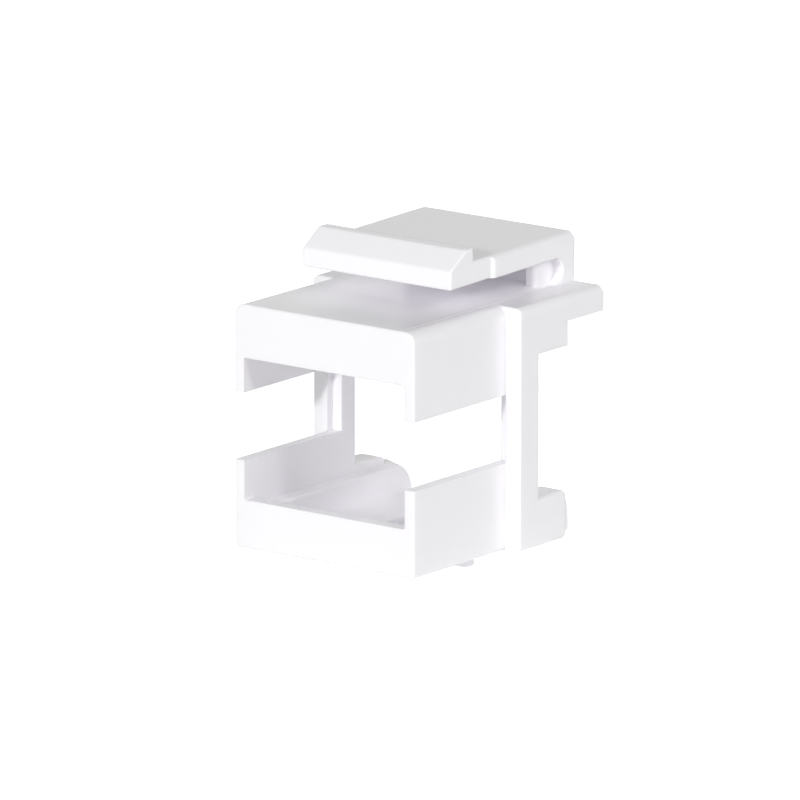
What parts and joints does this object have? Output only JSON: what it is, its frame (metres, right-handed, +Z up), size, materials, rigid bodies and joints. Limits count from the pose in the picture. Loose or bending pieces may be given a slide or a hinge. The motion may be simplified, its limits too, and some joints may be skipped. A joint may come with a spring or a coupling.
{
  "type": "keystone fibre coupler insert",
  "caption": "One-piece moulded frame that snaps into a keystone port and carries a fibre adapter: open nose with side slots, shoulder, railed floor, fixed catch and sprung latch.",
  "frame": {"origin": "centre of the nose's outline in the plane of the shoulder's front face, which meets the back of the port", "axes": "+X across the frame, +Y from the nose to the back, +Z up from the fixed catch to the latch"},
  "size_m": [0.0168, 0.019, 0.021],
  "materials": {
    "white_plastic": "smooth moulded gloss, bright white"
  },
  "bodies": {
    "root": {"insert_frame": "white_plastic"}
  },
  "joints": []
}
